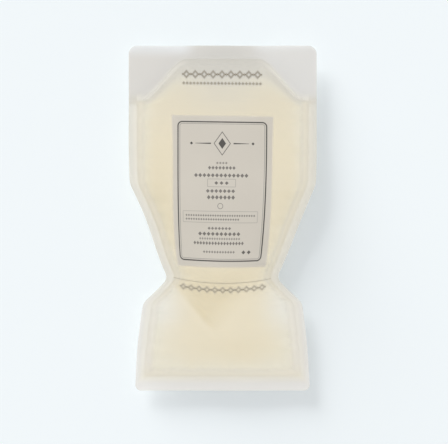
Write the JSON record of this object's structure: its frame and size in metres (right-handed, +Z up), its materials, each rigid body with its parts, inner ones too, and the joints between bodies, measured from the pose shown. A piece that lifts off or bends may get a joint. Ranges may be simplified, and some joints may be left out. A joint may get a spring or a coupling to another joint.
{
  "type": "liquid cleanser refill pouch",
  "caption": "Full hourglass refill pouch of frosted film with a flared skirt end, a folded gusset under an arched weld and a grey printed panel, lying on its back.",
  "frame": {"origin": "on the table under the middle of the pouch's outline, at the height of the flat patch that the back panel rests on", "axes": "+X across the pouch, +Y along it from the flared skirt end to the gusset end, +Z up out of the printed front panel"},
  "size_m": [0.1426, 0.262, 0.0358],
  "materials": {
    "front_film": "frosted laminate film with a grey printed panel",
    "back_film": "frosted laminate film",
    "gusset_film": "frosted laminate film",
    "cleanser": "thick cream-coloured liquid"
  },
  "bodies": {
    "root": {"front_panel": "front_film", "back_panel": "back_film", "gusset": "gusset_film", "cleanser": "cleanser"}
  },
  "joints": []
}
